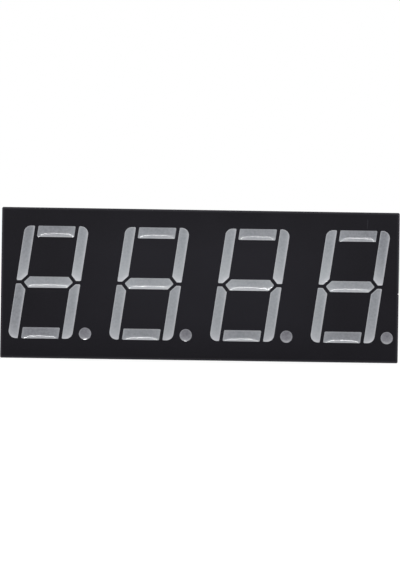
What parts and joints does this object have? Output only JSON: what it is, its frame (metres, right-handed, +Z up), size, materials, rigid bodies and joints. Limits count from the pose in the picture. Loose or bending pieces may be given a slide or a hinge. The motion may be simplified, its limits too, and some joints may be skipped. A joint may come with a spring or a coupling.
{
  "type": "seven segment display module",
  "caption": "Flat rectangular LED numeral display with slanted seven-segment digits and decimal points on a black face, a white moulded housing and two rows of round solder pins.",
  "frame": {"origin": "middle of the plane of the housing's back rim, which seats on the circuit board", "axes": "+Z up as a reader sees the digits, +X to the reader's right, the face looks along -Y and the pins run out along +Y"},
  "size_m": [0.0502, 0.014, 0.019],
  "materials": {
    "housing_plastic": "satin moulded white",
    "face_ink": "satin black print with a fine grain",
    "window_epoxy": "glossy translucent grey, slightly sunken",
    "led_die": "bright sawn semiconductor",
    "bond_wire": "bright gold wire",
    "tinned_pin": "bright tin plating",
    "solder": "smooth tin solder",
    "board_laminate": "glass fibre laminate with solder mask",
    "potting_epoxy": "poured epoxy, glossy and slightly wavy"
  },
  "bodies": {
    "root": {"back_potting": "potting_epoxy", "circuit_board": "board_laminate", "digit_1_bond_wires": "bond_wire", "digit_1_led_dice": "led_die", "digit_1_window_a": "window_epoxy", "digit_1_window_b": "window_epoxy", "digit_1_window_c": "window_epoxy", "digit_1_window_d": "window_epoxy", "digit_1_window_e": "window_epoxy", "digit_1_window_f": "window_epoxy", "digit_1_window_g": "window_epoxy", "digit_1_window_point": "window_epoxy", "digit_2_bond_wires": "bond_wire", "digit_2_led_dice": "led_die", "digit_2_window_a": "window_epoxy", "digit_2_window_b": "window_epoxy", "digit_2_window_c": "window_epoxy", "digit_2_window_d": "window_epoxy", "digit_2_window_e": "window_epoxy", "digit_2_window_f": "window_epoxy", "digit_2_window_g": "window_epoxy", "digit_2_window_point": "window_epoxy", "digit_3_bond_wires": "bond_wire", "digit_3_led_dice": "led_die", "digit_3_window_a": "window_epoxy", "digit_3_window_b": "window_epoxy", "digit_3_window_c": "window_epoxy", "digit_3_window_d": "window_epoxy", "digit_3_window_e": "window_epoxy", "digit_3_window_f": "window_epoxy", "digit_3_window_g": "window_epoxy", "digit_3_window_point": "window_epoxy", "digit_4_bond_wires": "bond_wire", "digit_4_led_dice": "led_die", "digit_4_window_a": "window_epoxy", "digit_4_window_b": "window_epoxy", "digit_4_window_c": "window_epoxy", "digit_4_window_d": "window_epoxy", "digit_4_window_e": "window_epoxy", "digit_4_window_f": "window_epoxy", "digit_4_window_g": "window_epoxy", "digit_4_window_point": "window_epoxy", "face_print": "face_ink", "pin_01": "tinned_pin", "pin_02": "tinned_pin", "pin_03": "tinned_pin", "pin_04": "tinned_pin", "pin_05": "tinned_pin", "pin_06": "tinned_pin", "pin_07": "tinned_pin", "pin_08": "tinned_pin", "pin_09": "tinned_pin", "pin_10": "tinned_pin", "pin_11": "tinned_pin", "pin_12": "tinned_pin", "reflector_housing": "housing_plastic", "solder_joints": "solder"}
  },
  "joints": []
}
